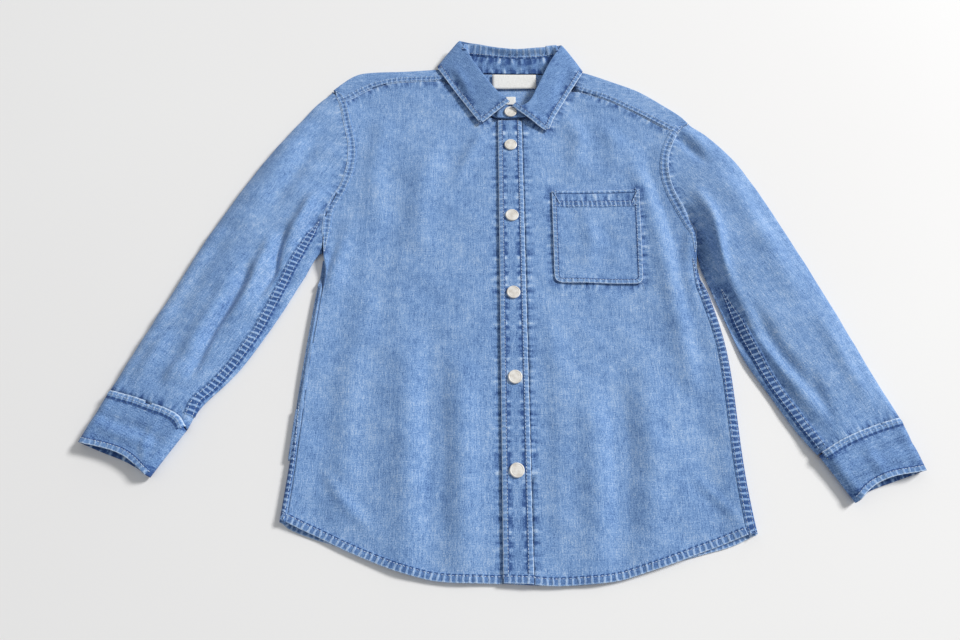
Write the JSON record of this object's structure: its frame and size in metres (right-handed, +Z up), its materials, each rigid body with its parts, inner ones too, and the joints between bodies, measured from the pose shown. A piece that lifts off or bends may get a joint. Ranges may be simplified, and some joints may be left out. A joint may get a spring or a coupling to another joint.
{
  "type": "denim shirt",
  "caption": "Child's long-sleeved denim shirt with a turned-down collar, chest pocket and snap front, buttoned and laid flat on its back, for dressing a wardrobe, shelf or table.",
  "frame": {"origin": "on the surface the shirt lies on, below the middle of the whole laid-out shirt", "axes": "+X to the wearer's left sleeve, +Y from the hem to the collar, +Z up out of the front of the shirt"},
  "size_m": [0.7334, 0.5612, 0.0138],
  "materials": {
    "denim": "washed light blue cotton denim",
    "pearl_snap": "pearl cap, satin gloss",
    "woven_label": "plain white satin weave"
  },
  "bodies": {
    "root": {"back": "denim", "yoke": "denim", "front_right": "denim", "front_left": "denim", "placket": "denim", "pocket": "denim", "sleeve_right": "denim", "sleeve_left": "denim", "cuff_right": "denim", "cuff_left": "denim", "collar": "denim", "collar_stand": "denim", "neck_label": "woven_label", "size_label": "woven_label", "snap_1": "pearl_snap", "snap_2": "pearl_snap", "snap_3": "pearl_snap", "snap_4": "pearl_snap", "snap_5": "pearl_snap", "snap_6": "pearl_snap"}
  },
  "joints": []
}
